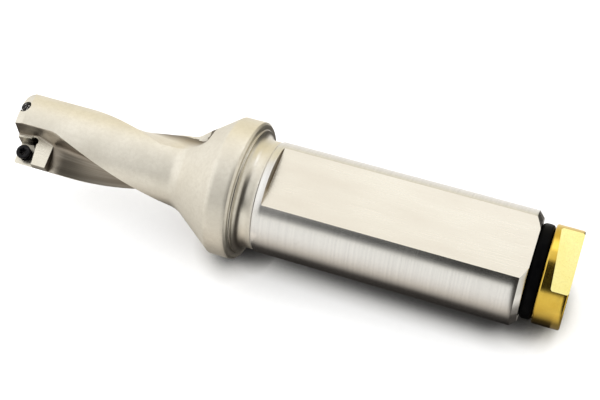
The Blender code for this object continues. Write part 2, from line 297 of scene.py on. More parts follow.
def flute_ring(x, pad, second):
    rb = body_radius(x)
    e0 = heel_angle(x)
    a = math.radians(SEAT_ANGLE)
    s = run_out(x)
    if pad:
        h = CENTRE_PAD_H if second else OUTER_PAD_H
        if second:
            t = 0.90
        elif x < -41.3:
            t = -1.05 + 0.128 * (x + 41.3)
        else:
            t = -1.05 - 0.29 * (x + 41.3)
        foot = Vector((h * math.sin(a) + t * math.cos(a), h * math.cos(a) - t * math.sin(a)))
        e1 = SEAT_ANGLE - math.degrees(math.acos(h / rb))
        fillet = 0.35
    else:
        corner = FLUTE_CORNER_R + (body_radius(FLUTE_END_X) + 0.25 - FLUTE_CORNER_R) * s ** 1.7
        foot = Vector(polar(corner, e0 + FLUTE_CORNER_ANGLE * (1 - s) - 20.0 * s))
        e1 = e0 - FLUTE_WIDTH * (1 - s) - (56.0 if second else 78.0) * s
        fillet = FLUTE_FILLET
    rim_angle = e0
    heel = Vector(polar(rb, e0))
    lead = Vector(polar(rb, e1))
    lift = 1.0 + 0.035 * s
    inner = None
    if second and not pad:
        k = smooth((x + 37.5) / 7.5)
        rim_angle = far_rim(x)
        foot = Vector(polar(corner, e0 + FLUTE_CORNER_ANGLE * (1 - s) - 38.0 * s))
        edge = Vector(polar(rb, rim_angle - 8.0 * k))
        wall = edge - foot
        inner = foot + wall * max(0.55, 1.0 - (0.25 + 0.55 * k) / wall.length)
        heel = Vector(polar(rb, rim_angle))
        q = smooth((x - FAR_CORNER_X) / 3.5)
        if q > 0.0:
            rise = max(0.0, (x - FAR_EXIT_X) / (FAR_END_X - FAR_EXIT_X))
            depth = FAR_CORNER_R + (body_radius(FAR_END_X) + 0.2 - FAR_CORNER_R) * rise * rise
            near = Vector(polar(depth, rim_angle - 7.5))
            foot = foot.lerp(near, q)
            inner = inner.lerp(heel.lerp(near, 0.6), q)
            fillet += (0.32 - fillet) * q
    heel, lead = heel * lift, lead * lift
    u = (heel if inner is None else inner) - foot
    v = lead - foot
    fillet = min(fillet, 0.45 * u.length, 0.45 * v.length)
    un, vn = u.normalized(), v.normalized()
    half = math.acos(max(-1.0, min(1.0, un.dot(vn)))) / 2
    n = 14
    if half > math.radians(89.0):
        p0, p1 = foot + un * fillet, foot + vn * fillet
        arc = [p0.lerp(p1, i / n) for i in range(n + 1)]
    else:
        cut = fillet / math.tan(half)
        cut = min(cut, 0.45 * u.length, 0.45 * v.length)
        radius = cut * math.tan(half)
        centre = foot + (un + vn).normalized() * (radius / math.sin(half))
        p0, p1 = foot + un * cut - centre, foot + vn * cut - centre
        turn = p0.angle_signed(p1)
        arc = []
        for i in range(n + 1):
            q = p0.copy()
            q.rotate(Matrix.Rotation(-turn * i / n, 2))
            arc.append(centre + q)
    out = rb + 4.0
    mid = (e0 + e1) / 2
    # heel side: outside, broken edge, wall
    wall_top = heel if inner is None else inner
    first = heel.lerp(arc[0] if inner is None else inner, min(0.3, EDGE_BREAK / max((heel - wall_top).length if inner is not None else (heel - arc[0]).length, 1e-6)))
    radial = Vector(polar(1.0, rim_angle))
    across = Vector(polar(1.0, rim_angle + 90.0))
    flare = first + (radial + across) * 0.75
    pts = [Vector(polar(out, rim_angle + math.degrees(0.9 / rb))), flare, first]
    pts.append(first.lerp(arc[0], 0.5) if inner is None else inner)
    pts += arc
    last = lead.lerp(arc[-1], min(0.3, EDGE_BREAK / max((lead - arc[-1]).length, 1e-6)))
    radial = Vector(polar(1.0, e1))
    across = Vector(polar(1.0, e1 - 90.0))
    if pad:
        pts += [arc[-1].lerp(lead, 0.33), arc[-1].lerp(lead, 0.66), last, last + (radial + across * 0.4) * 0.75,
                Vector(polar(out, e1 - math.degrees(0.4 / rb)))]
    else:
        pts += [arc[-1].lerp(lead, 0.33), arc[-1].lerp(lead, 0.66), last, last + (radial + across) * 0.75,
                Vector(polar(out, e1 - math.degrees(0.9 / rb)))]
    pts += [Vector(polar(out * 1.25, mid - 16)), Vector(polar(out * 1.25, mid + 16))]
    sign = -1.0 if second else 1.0
    return [(x, sign * p.x, sign * p.y) for p in pts]


def flute(second):
    rings = [flute_ring(x, True, second) for x in steps_between(-48.0, -45.6, 1.2)]
    rings += [flute_ring(x, True, second) for x in steps_between(-45.2, PAD_END_X, 0.5)]
    rings += [flute_ring(x, False, second) for x in steps_between(PAD_END_X + 0.02, -35.0, 0.3)]
    rings += [flute_ring(x, False, second) for x in steps_between(-35.0, RUNOUT_X, 0.6)[1:]]
    rings += [flute_ring(x, False, second) for x in steps_between(RUNOUT_X, FAR_END_X if second else FLUTE_END_X, 0.38)[1:]]
    hubs = []
    for ring in (rings[0], rings[-1]):
        ends = [Vector(ring[i]) for i in (0, -3, -2, -1)]
        hubs.append(sum(ends, Vector()) / 4)
    return loft(rings, hubs)


def pocket(turn, corner, wall_h, seat_h, top_h, forward, outward, flip, side=-1.0):
    """Square pocket with drafted walls, rounded inner corners and a broken upper edge."""
    ca, sa = math.cos(math.radians(turn)), math.sin(math.radians(turn))
    tan = math.tan(math.radians(WALL_DRAFT))
    rings = []
    levels = [(seat_h, -0.10), (seat_h + 0.05, -0.03), (seat_h + 0.14, 0.0), (wall_h - 0.07, 0.0),
              (wall_h + 0.03, 0.10), (top_h, 0.10)]
    for h, extra in levels:
        d = (h - wall_h) * tan + extra
        points = []
        for f, o in ((d, d), (-forward, d), (-forward, -outward), (d, -outward)):
            across = -side * o
            x = corner[0] + ca * f - sa * across
            t = corner[1] + sa * f + ca * across
            points.append(plane_point(x, t, h, flip))
        rings.append(points)
    return loft(rings)


# ------------------------------------------------------------------- profile
def head_profile():
    points = [(HEAD_FRONT_X, 0.0), (HEAD_FRONT_X, 1.5), (HEAD_FRONT_X, 3.0), (HEAD_FRONT_X, 4.6),
              (HEAD_FRONT_X, 6.38), (HEAD_FRONT_X + 0.05, 6.47), (-45.15, 6.65), (-45.05, HEAD_R)]
    points += [(x, HEAD_R) for x in steps_between(-45.0, HEAD_END_X, 0.9)[1:]]
    points += [(x, body_radius(x)) for x in steps_between(HEAD_END_X, CONE_X, 0.22)[1:]]
    points += [(x, body_radius(x)) for x in steps_between(CONE_X, SPLIT_X, 0.45)[1:]]
    points += [(SPLIT_X, 2.7), (-8.0, 2.7), (-9.2, 1.1), (-30.0, 1.1), (-30.6, 0.0)]
    return points


def shank_profile():
    points = [(x, body_radius(x)) for x in steps_between(SPLIT_X, FLANGE_X - 0.10, 0.45)]
    points += [(FLANGE_X - 0.03, FLANGE_R - 0.035), (FLANGE_X + 0.06, FLANGE_R)]
    points += [(x, FLANGE_R) for x in steps_between(FLANGE_X + 0.06, -0.42, 0.9)[1:]]
    points += [(-0.36, FLANGE_R - 0.02), (-0.06, FLANGE_R - 0.33), (0.0, FLANGE_R - 0.42), (0.0, 11.36),
               (0.03, 11.30), (0.08, 11.24), (0.16, 11.20), (0.30, 11.18), (0.34, 11.13), (0.34, 10.98)]
    for i in range(1, 11):
        a = math.radians(9.0 * i)
        points.append((1.9 - 1.56 * math.cos(a), 10.98 - 1.23 * math.sin(a)))
    points += [(2.4, NECK_R), (2.9, NECK_R), (3.40, NECK_R), (3.47, NECK_R + 0.02), (3.68, NECK_R + 0.22),
               (3.76, SHANK_R)]
    points += [(x, SHANK_R) for x in steps_between(3.76, 49.16, 1.2)[1:]]
    points += [(49.22, SHANK_R - 0.02), (50.13, 9.02), (50.2, 8.92), (50.2, 8.0), (50.2, 7.0), (50.2, 6.2),
               (50.1, 6.1)]
    points += [(47.0, 6.1), (44.0, 6.1), (41.0, 6.1), (39.4, 2.7), (20.0, 2.7), (SPLIT_X, 2.7)]
    return points


def body_index(x, r):
    if x > 3.42 and r > 8.0:
        return GROUND
    if r < 6.3 and x > SPLIT_X:
        return BORE
    if r < 3.0 and x > -31.0:
        return BORE
    return NICKEL


# ------------------------------------------------------------ node materials
class Nodes:
    """Short hand for building a material's node tree."""

    def __init__(self, name, metallic, roughness, colour):
        self.mat = bpy.data.materials.new(name)
        self.mat.use_nodes = True
        self.tree = self.mat.node_tree
        self.shader = self.tree.nodes["Principled BSDF"]
        self.shader.inputs["Metallic"].default_value = metallic
        self.shader.inputs["Roughness"].default_value = roughness
        self.shader.inputs["Base Color"].default_value = (*colour, 1.0)
        self.mat.diffuse_color = (*colour, 1.0)
        back = self.tree.nodes.new("ShaderNodeMapping")
        back.vector_type = "TEXTURE"
        back.inputs["Location"].default_value = ORIGIN
        back.inputs["Rotation"].default_value = (math.radians(ROLL), math.radians(TILT), 0.0)
        self.link(self.tree.nodes.new("ShaderNodeTexCoord").outputs["Object"], back.inputs["Vector"])
        self.coords = back.outputs[0]

    def link(self, a, b):
        self.tree.links.new(a, b)

    def math(self, op, a, b=None, c=None):
        node = self.tree.nodes.new("ShaderNodeMath")
        node.operation = op
        for k, v in enumerate((a, b, c)):
            if v is None:
                continue
            if isinstance(v, (int, float)):
                node.inputs[k].default_value = v
            else:
                self.link(v, node.inputs[k])
        return node.outputs[0]

    def split(self, vector):
        node = self.tree.nodes.new("ShaderNodeSeparateXYZ")
        self.link(vector, node.inputs[0])
        return node.outputs

    def join(self, x, y, z):
        node = self.tree.nodes.new("ShaderNodeCombineXYZ")
        for k, v in enumerate((x, y, z)):
            if isinstance(v, (int, float)):
                node.inputs[k].default_value = v
            else:
                self.link(v, node.inputs[k])
        return node.outputs[0]

    def scaled(self, x, y, z, vector=None):
        node = self.tree.nodes.new("ShaderNodeMapping")
        self.link(vector if vector is not None else self.coords, node.inputs["Vector"])
        node.inputs["Scale"].default_value = (x, y, z)
        return node.outputs[0]

    def noise(self, vector, scale=1.0, detail=3.0, rough=0.5):
        node = self.tree.nodes.new("ShaderNodeTexNoise")
        self.link(vector, node.inputs["Vector"])
        node.inputs["Scale"].default_value = scale
        node.inputs["Detail"].default_value = detail
        node.inputs["Roughness"].default_value = rough
        return node.outputs[0]

    def ramp(self, value, low, high, to_low=0.0, to_high=1.0):
        node = self.tree.nodes.new("ShaderNodeMapRange")
        node.clamp = True
        self.link(value, node.inputs["Value"])
        node.inputs["From Min"].default_value = low
        node.inputs["From Max"].default_value = high
        node.inputs["To Min"].default_value = to_low
        node.inputs["To Max"].default_value = to_high
        return node.outputs[0]

    def blend(self, factor, a, b):
        node = self.tree.nodes.new("ShaderNodeMix")
        node.data_type = "RGBA"
        self.link(factor, node.inputs[0])
        for k, v in ((6, a), (7, b)):
            if isinstance(v, tuple):
                node.inputs[k].default_value = (*v, 1.0)
            else:
                self.link(v, node.inputs[k])
        return node.outputs[2]

    def open_share(self, distance, low, high):
        """0 deep in a corner, 1 where the surface is open."""
        node = self.tree.nodes.new("ShaderNodeAmbientOcclusion")
        node.samples = 12
        node.inputs["Distance"].default_value = distance
        return self.ramp(node.outputs["AO"], low, high)

    def bump(self, height, distance, strength=1.0, normal=None):
        node = self.tree.nodes.new("ShaderNodeBump")
        node.inputs["Strength"].default_value = strength
        node.inputs["Distance"].default_value = distance
        self.link(height, node.inputs["Height"])
        if normal is not None:
            self.link(normal, node.inputs["Normal"])
        return node.outputs[0]

    def colour(self, socket):
        self.link(socket, self.shader.inputs["Base Color"])

    def rough(self, socket):
        self.link(socket, self.shader.inputs["Roughness"])

    def normal(self, socket):
        self.link(socket, self.shader.inputs["Normal"])


def nickel_material():
    """Satin nickel plating over turned steel: warm, with faint turning rings and fine grain."""
    n = Nodes("satin_nickel", 1.0, 0.30, (0.86, 0.81, 0.72))
    cloud = n.noise(n.scaled(1, 1, 1), 190.0, 3.0, 0.55)
    grain = n.noise(n.scaled(1, 1, 1), 5200.0, 2.0, 0.6)
    rings = n.noise(n.scaled(5200, 90, 90), 1.0, 2.0, 0.5)
    mottle = n.noise(n.scaled(1, 1, 1), 1500.0, 3.0, 0.6)
    tone = n.blend(n.ramp(cloud, 0.36, 0.64), (0.94, 0.90, 0.81), (0.88, 0.84, 0.75))
    tone = n.blend(n.ramp(mottle, 0.40, 0.68, 0.0, 0.45), tone, (0.80, 0.755, 0.665))
    tone = n.blend(n.ramp(grain, 0.35, 0.75, 0.0, 0.30), tone, (0.79, 0.74, 0.65))
    # painted shade: an ambient-occlusion mask darkens the plating towards near-black in corners, creases and grooves
    n.colour(n.blend(n.open_share(0.0030, 0.44, 0.92), (0.045, 0.037, 0.027), tone))
    x = n.split(n.coords)[0]
    turned = n.math("MULTIPLY", n.ramp(x, -0.0003, 0.0001), n.ramp(x, 0.0022, 0.0030, 1.0, 0.0))
    satin = n.math("ADD", n.ramp(cloud, 0.3, 0.7, 0.38, 0.46), n.ramp(grain, 0.3, 0.7, 0.0, 0.07))
    n.rough(n.math("MULTIPLY", satin, n.math("SUBTRACT", 1.0, n.math("MULTIPLY", turned, 0.32))))
    first = n.bump(rings, 0.000004, 0.8)
    n.normal(n.bump(grain, 0.000004, 0.8, first))
    return n.mat


def flute_material():
    """The same plating over milled flutes: lengthwise cutter marks that follow the twist, on tones kept darker than the
    outside plating as painted shade inside the flutes.
    """
    n = Nodes("milled_nickel", 1.0, 0.34, (0.66, 0.60, 0.52))
    x, y, z = n.split(n.coords)
    angle = n.math("ARCTAN2", y, z)
    radius = n.math("SQRT", n.math("ADD", n.math("MULTIPLY", y, y), n.math("MULTIPLY", z, z)))
    twist = n.math("ADD", angle, n.math("MULTIPLY", x, math.radians(HELIX_RATE) / MM))
    along = n.join(n.math("MULTIPLY", n.math("SINE", twist), 26.0), n.math("MULTIPLY", n.math("COSINE", twist), 26.0),
                   n.math("ADD", n.math("MULTIPLY", radius, 5200.0), n.math("MULTIPLY", x, 55.0)))
    streaks = n.noise(along, 1.0, 4.0, 0.62)
    broad = n.noise(n.join(n.math("MULTIPLY", n.math("SINE", twist), 5.0), n.math("MULTIPLY", n.math("COSINE", twist), 5.0),
                           n.math("ADD", n.math("MULTIPLY", radius, 700.0), n.math("MULTIPLY", x, 70.0))), 1.0, 2.0, 0.5)
    grain = n.noise(n.scaled(1, 1, 1), 5600.0, 2.0, 0.6)
    # painted shade: the flute tones are kept far darker than the same plating outside
    tone = n.blend(n.ramp(streaks, 0.30, 0.70), (0.30, 0.262, 0.215), (0.50, 0.450, 0.385))
    tone = n.blend(n.ramp(broad, 0.40, 0.62, 0.0, 0.5), tone, (0.28, 0.24, 0.195))
    # painted shade: lighter towards the outer radius, darker deeper into the flute
    rim = n.blend(n.ramp(streaks, 0.30, 0.70), (0.56, 0.51, 0.44), (0.74, 0.69, 0.61))
    tone = n.blend(n.ramp(radius, 0.0056, 0.0069), tone, rim)
    # second flute towards its end: painted shade dark in its corner and painted light paler up to the near edge,
    # standing in for how light falls across its floor
    late = n.ramp(x, RUNOUT_X * MM, FLUTE_END_X * MM)
    rim_twist = 180.0 + FLUTE_EDGE + HELIX_RATE * HELIX_START_X - HEEL_CHAMFER
    from_rim = n.math("SUBTRACT", n.math("SUBTRACT", math.radians(rim_twist), n.math("MULTIPLY", late, math.radians(12.0))), twist)
    far = n.blend(n.ramp(from_rim, math.radians(7.0), math.radians(21.0)), (0.10, 0.076, 0.046), (0.33, 0.27, 0.19))
    far = n.blend(n.ramp(from_rim, math.radians(19.0), math.radians(44.0)), far, (0.93, 0.885, 0.80))
    far = n.blend(n.ramp(streaks, 0.30, 0.70, 0.0, 0.25), far, (0.50, 0.44, 0.36))
    here = n.math("MULTIPLY", n.ramp(x, -0.0255, -0.0225), n.ramp(angle, 0.0, 0.12))
    tone = n.blend(here, tone, far)
    # painted shade: an ambient-occlusion mask darkens the flute colour towards near-black in its corners and under its
    # edges
    n.colour(n.blend(n.open_share(0.0035, 0.18, 0.78), (0.085, 0.070, 0.052), tone))
    n.rough(n.math("ADD", n.ramp(streaks, 0.3, 0.7, 0.30, 0.42), n.ramp(grain, 0.3, 0.7, 0.0, 0.06)))
    first = n.bump(streaks, 0.000012, 0.8)
    n.normal(n.bump(grain, 0.000004, 0.6, first))
    return n.mat


def pocket_material():
    """Finely milled seats and pads."""
    n = Nodes("milled_seat", 1.0, 0.28, (0.86, 0.82, 0.74))
    lines = n.noise(n.scaled(700, 9000, 700), 1.0, 2.0, 0.5)
    grain = n.noise(n.scaled(1, 1, 1), 5000.0, 2.0, 0.6)
    cloud = n.noise(n.scaled(1, 1, 1), 420.0, 2.0, 0.5)
    tone = n.blend(n.ramp(cloud, 0.35, 0.65), (0.86, 0.815, 0.715), (0.81, 0.765, 0.665))
    tone = n.blend(n.ramp(grain, 0.35, 0.75, 0.0, 0.22), tone, (0.78, 0.73, 0.64))
    # painted shade: an ambient-occlusion mask turns pocket corners and walls near black
    n.colour(n.blend(n.open_share(0.0022, 0.22, 0.80), (0.012, 0.011, 0.010), tone))
    n.rough(n.ramp(lines, 0.3, 0.7, 0.24, 0.34))
    n.normal(n.bump(lines, 0.000002, 0.5, n.bump(grain, 0.000003, 0.5)))
    return n.mat


def ground_material():
    """Cylindrically ground steel: fine rings round the shank."""
    n = Nodes("ground_steel", 1.0, 0.16, (0.80, 0.79, 0.78))
    fine = n.noise(n.scaled(24000, 60, 60), 1.0, 2.0, 0.6)
    coarse = n.noise(n.scaled(2600, 35, 35), 1.0, 3.0, 0.5)
    cloud = n.noise(n.scaled(60, 160, 160), 1.0, 3.0, 0.5)
    speck = n.noise(n.scaled(1, 1, 1), 3000.0, 2.0, 0.5)
    tone = n.blend(n.ramp(coarse, 0.32, 0.68), (0.84, 0.83, 0.815), (0.785, 0.775, 0.765))
    n.colour(n.blend(n.ramp(speck, 0.55, 0.80, 0.0, 0.20), tone, (0.55, 0.53, 0.51)))
    n.rough(n.math("ADD", n.ramp(fine, 0.25, 0.75, 0.14, 0.20), n.ramp(cloud, 0.35, 0.65, 0.0, 0.05)))
    first = n.bump(coarse, 0.0000011, 0.8)
    n.normal(n.bump(fine, 0.0000008, 0.7, first))
    return n.mat


def flat_material():
    """Milled clamping flat, plated: an even, fine lay along the tool."""
    n = Nodes("milled_flat", 1.0, 0.26, (0.88, 0.84, 0.75))
    lay = n.noise(n.scaled(160, 7000, 7000), 1.0, 3.0, 0.55)
    grain = n.noise(n.scaled(1, 1, 1), 4600.0, 2.0, 0.6)
    cloud = n.noise(n.scaled(60, 240, 240), 1.0, 3.0, 0.5)
    tone = n.blend(n.ramp(cloud, 0.35, 0.65), (0.90, 0.86, 0.77), (0.85, 0.80, 0.71))
    n.colour(n.blend(n.ramp(grain, 0.4, 0.8, 0.0, 0.22), tone, (0.74, 0.68, 0.60)))
    n.rough(n.math("ADD", n.ramp(lay, 0.3, 0.7, 0.24, 0.32), n.ramp(cloud, 0.3, 0.7, 0.0, 0.05)))
    n.normal(n.bump(lay, 0.000003, 0.7, n.bump(grain, 0.000003, 0.6)))
    return n.mat


def black_material(name, add_painted_glints):
    """Black oxide on steel: deep brown-black with a fine lighter grain; the tip version also gets bright specks painted
    on as glints.
    """
    n = Nodes(name, 0.7, 0.30, (0.012, 0.012, 0.013))
    n.shader.inputs["Specular IOR Level"].default_value = 0.25
    grain = n.noise(n.scaled(1, 1, 1), 6500.0, 3.0, 0.6)
    cloud = n.noise(n.scaled(1, 1, 1), 900.0, 2.0, 0.5)
    tone = n.blend(n.ramp(cloud, 0.35, 0.65), (0.010, 0.010, 0.011), (0.022, 0.020, 0.020))
    tone = n.blend(n.ramp(grain, 0.66, 0.88, 0.0, 0.6), tone, (0.20, 0.19, 0.18))
    # painted highlight: bright specks on the black stand in for glints of light on the thread crests
    if add_painted_glints:
        glint_specks = n.noise(n.scaled(1, 1, 1), 3100.0, 2.0, 0.45)
        tone = n.blend(n.ramp(glint_specks, 0.59, 0.66), tone, (0.75, 0.73, 0.70))
    n.colour(tone)
    n.rough(n.ramp(grain, 0.3, 0.7, 0.20, 0.34))
    n.normal(n.bump(grain, 0.000005, 0.7))
    return n.mat


def rubber_material():
    """Moulded nitrile rubber with a soft sheen and a little dust."""
    n = Nodes("seal_rubber", 0.0, 0.36, (0.004, 0.004, 0.004))
    n.shader.inputs["Specular IOR Level"].default_value = 0.02
    grain = n.noise(n.scaled(1, 1, 1), 4200.0, 3.0, 0.6)
    cloud = n.noise(n.scaled(1, 1, 1), 500.0, 2.0, 0.5)
    tone = n.blend(n.ramp(cloud, 0.35, 0.7), (0.0008, 0.0008, 0.0010), (0.0018, 0.0018, 0.0019))
    n.colour(n.blend(n.ramp(grain, 0.70, 0.88, 0.0, 0.5), tone, (0.030, 0.029, 0.028)))
    n.rough(n.math("ADD", n.ramp(cloud, 0.3, 0.7, 0.27, 0.36), n.ramp(grain, 0.3, 0.7, 0.0, 0.08)))
    n.normal(n.bump(grain, 0.000006, 0.6))
    return n.mat


def brass_material(name, milled):
    """Brass: rings round the turned parts, straight lay on the milled flats, which carry a paler, yellower lit copy of
    the brass colour as painted light.
    """
    n = Nodes(name, 1.0, 0.24, (0.89, 0.62, 0.20))
    if milled:
        lines = n.noise(n.scaled(5200, 300, 300), 1.0, 3.0, 0.55)
    else:
        lines = n.noise(n.scaled(6500, 90, 90), 1.0, 3.0, 0.55)
    grain = n.noise(n.scaled(1, 1, 1), 4200.0, 2.0, 0.6)
    cloud = n.noise(n.scaled(1, 1, 1), 260.0, 3.0, 0.55)
    if milled:
        # painted light: the flats' pale yellow is a lit copy of the brass colour, not a different metal
        tone = n.blend(n.ramp(cloud, 0.35, 0.65), (0.99, 0.92, 0.42), (0.97, 0.87, 0.34))
    else:
        tone = n.blend(n.ramp(cloud, 0.35, 0.65), (0.80, 0.56, 0.10), (0.74, 0.49, 0.07))
    n.colour(n.blend(n.ramp(grain, 0.5, 0.8, 0.0, 0.3), tone, (0.70, 0.46, 0.10)))
    n.rough(n.math("ADD", n.ramp(lines, 0.3, 0.7, 0.10, 0.16), n.ramp(grain, 0.3, 0.7, 0.0, 0.04)))
    n.normal(n.bump(lines, 0.000005, 0.8, n.bump(grain, 0.000003, 0.6)))
    return n.mat


nickel = nickel_material()
target_materials = [nickel, ground_material(), flute_material(), pocket_material(), flat_material(), nickel]
black = black_material("black_oxide", False)
# the centre screw's tip material carries the painted glints
black_with_painted_glints = black_material("black_oxide_painted_glints_tip", True)
rubber = rubber_material()
brass_turned = brass_material("turned_brass", False)
brass_milled_lit = brass_material("milled_brass_lit_tone", True)


# ---------------------------------------------------------------------- body
SEG = 224
head = new_object("head", revolve(head_profile(), SEG, 0.0, index=body_index), target_materials)
cuts = [(flute(False), FLUTE), (flute(True), FLUTE)]

a0, a1 = HEAD_FRONT_X - 1.5, TAPER_X + 0.6
slope = (HEAD_R - TAPER_R) / (TAPER_X - HEAD_FRONT_X)
c0, c1 = (TAPER_R + TAPER_SHIFT + slope * (a - HEAD_FRONT_X) for a in (a0, a1))
for turn in (0.0, 180.0):
    bm = revolve([(a0, c0), (a1, c1), (a1, 15.0), (a0, 15.0)], 160, TAPER_ANGLE + turn, closed=True)
    dy, dz = polar(TAPER_SHIFT * MM, TAPER_ANGLE + turn)
    bmesh.ops.translate(bm, vec=(0.0, -dy, -dz), verts=bm.verts[:])
    cuts.append((bm, NICKEL))
for flip in (1.0, -1.0):
    rise = math.tan(math.radians(FRONT_RELIEF))
    near, far = flip * FRONT_RELIEF_H, flip * (FRONT_RELIEF_H + 10.0)
    rings = []
    for y in (-12.0, 12.0):
        rings.append([(HEAD_FRONT_X - 3.0, y, near), (HEAD_FRONT_X, y, near),
                      (HEAD_FRONT_X + rise * 10.0, y, far), (HEAD_FRONT_X - 3.0, y, far)])
    cuts.append((loft(rings), NICKEL))

half = INSERT_SIZE / 2
ca, sa = math.cos(math.radians(OUTER_TURN)), math.sin(math.radians(OUTER_TURN))
ox = OUTER_CORNER[0] - half * ca + half * sa
ot = OUTER_CORNER[1] - half * sa - half * ca
cuts.append((pocket(OUTER_TURN, OUTER_CORNER, OUTER_PAD_H, OUTER_SEAT_H, OUTER_PAD_H + 1.2, 9.0, 9.0, 1.0), POCKET))
rx, rt = OUTER_CORNER[0] - 0.55, OUTER_CORNER[1] - 0.55
cuts.append((bar([(plane_point(rx, rt, OUTER_SEAT_H - 0.5, 1.0), RELIEF_R - 0.15),
                  (plane_point(rx, rt, OUTER_SEAT_H - 0.35, 1.0), RELIEF_R),
                  (plane_point(rx, rt, OUTER_PAD_H - 0.10, 1.0), RELIEF_R),
                  (plane_point(rx, rt, OUTER_PAD_H + 0.02, 1.0), RELIEF_R + 0.10),
                  (plane_point(rx, rt, OUTER_PAD_H + 0.6, 1.0), RELIEF_R + 0.10)]), POCKET))
cuts.append((bar([(plane_point(ox, ot, -8.0, 1.0), SCREW_HOLE_R), (plane_point(ox, ot, OUTER_SEAT_H - 0.10, 1.0), SCREW_HOLE_R),
                  (plane_point(ox, ot, OUTER_SEAT_H + 0.02, 1.0), SCREW_HOLE_R + 0.12),
                  (plane_point(ox, ot, 0.2, 1.0), SCREW_HOLE_R + 0.12)]), POCKET))

cc, sc = math.cos(math.radians(CENTRE_TURN)), math.sin(math.radians(CENTRE_TURN))
corner = (CENTRE_MIDDLE[0] + half * cc + half * sc, CENTRE_MIDDLE[1] + half * sc - half * cc)
cuts.append((pocket(CENTRE_TURN, corner, CENTRE_PAD_H, CENTRE_SEAT_H, CENTRE_PAD_H + 0.8, 9.0, INSERT_SIZE + 0.1, -1.0,
                    side=1.0), POCKET))
rx, rt = corner[0] - 0.55, corner[1] + 0.55
cuts.append((bar([(plane_point(rx, rt, CENTRE_SEAT_H - 0.5, -1.0), RELIEF_R - 0.15),
                  (plane_point(rx, rt, CENTRE_SEAT_H - 0.35, -1.0), RELIEF_R),
                  (plane_point(rx, rt, CENTRE_PAD_H - 0.10, -1.0), RELIEF_R),
                  (plane_point(rx, rt, CENTRE_PAD_H + 0.02, -1.0), RELIEF_R + 0.10),
                  (plane_point(rx, rt, CENTRE_PAD_H + 0.6, -1.0), RELIEF_R + 0.10)]), POCKET))
mx, mt = CENTRE_MIDDLE
cuts.append((bar([(plane_point(mx, mt, -8.0, -1.0), SCREW_HOLE_R), (plane_point(mx, mt, CENTRE_SEAT_H - 0.10, -1.0), SCREW_HOLE_R),
                  (plane_point(mx, mt, CENTRE_SEAT_H + 0.02, -1.0), SCREW_HOLE_R + 0.12),
                  (plane_point(mx, mt, -1.0, -1.0), SCREW_HOLE_R + 0.12)], 48), POCKET))
tip = (-30.0, 0.0, 0.0)
cuts.append((bar([(tip, 0.60), (plane_point(-46.0, -2.1, -3.7, 1.0), 0.60)], 32), BORE))
cuts.append((bar([(tip, 0.48), (plane_point(-46.0, -0.26, 4.4, 1.0), 0.48)], 32), BORE))
carve(head, cuts)
for p in head.data.polygons:
    if p.material_index == FLUTE and p.center.x < (PAD_END_X - 0.05) * MM:
        a = math.radians(SEAT_ANGLE)
        if abs(p.normal.y * math.sin(a) + p.normal.z * math.cos(a)) > 0.97:
            p.material_index = POCKET

for p in head.data.polygons:
    x = p.center.x / MM
    if p.material_index == FLUTE and FAR_CORNER_X < x < FAR_END_X + 0.5:
        behind_rim = 180.0 + far_rim(x) - math.degrees(math.atan2(p.center.y, p.center.z))
        if -6.0 < behind_rim < 6.2 and x < -9.1 - 0.13 * behind_rim:
            p.material_index = NICKEL

shank = new_object("shank", revolve(shank_profile(), SEG, 0.0, index=body_index), target_materials)
rings = []
for x, lift in ((FLAT_X - 0.12, 0.30), (FLAT_X, 0.0), (SHANK_R + 45.0, 0.0)):
    ring = []
    for t, h in ((-9.0, FLAT_H + lift), (9.0, FLAT_H + lift), (9.0, FLAT_H + 6.0), (-9.0, FLAT_H + 6.0)):
        a = math.radians(FLAT_ANGLE)
        ring.append((x, h * math.sin(a) + t * math.cos(a), h * math.cos(a) - t * math.sin(a)))
    rings.append(ring)
carve(shank, [(loft(rings), FLAT)])
# painted shade: the flat's end wall takes the flute's darker tones, so it reads as a shaded step
for p in shank.data.polygons:
    if p.material_index == FLAT and abs(p.normal.x) > 0.5:
        p.material_index = FLUTE

# drop the two faces where the halves meet and weld the halves into one body
bm = bmesh.new()
bm.from_mesh(head.data)
bm.from_mesh(shank.data)
inner = [f for f in bm.faces if all(abs(v.co.x - SPLIT_X * MM) < 2e-7 for v in f.verts)]
bmesh.ops.delete(bm, geom=inner, context="FACES")
bmesh.ops.remove_doubles(bm, verts=bm.verts[:], dist=1.5e-6)
bmesh.ops.dissolve_degenerate(bm, edges=bm.edges[:], dist=1e-7)
open_edges = [e for e in bm.edges if len(e.link_faces) != 2]
print("body: faces", len(bm.faces), "edges not shared by two faces", len(open_edges))
for ob in (head, shank):
    data = ob.data
    bpy.data.objects.remove(ob, do_unlink=True)
    bpy.data.meshes.remove(data)
body = new_object("drill_body_surface", bm, target_materials, sharp=24.0)
lay_down(body, "drill_body")


# -------------------------------------------------------------------- screws
def thread(pitch, depth, x, turn):
    """Height of a vee thread above its root at x, for a point at that share of a turn."""
    s = (x / pitch - turn) % 1.0
    return depth * min(1.0, max(0.0, 1.35 * (1.0 - abs(2.0 * s - 1.0)) - 0.12))


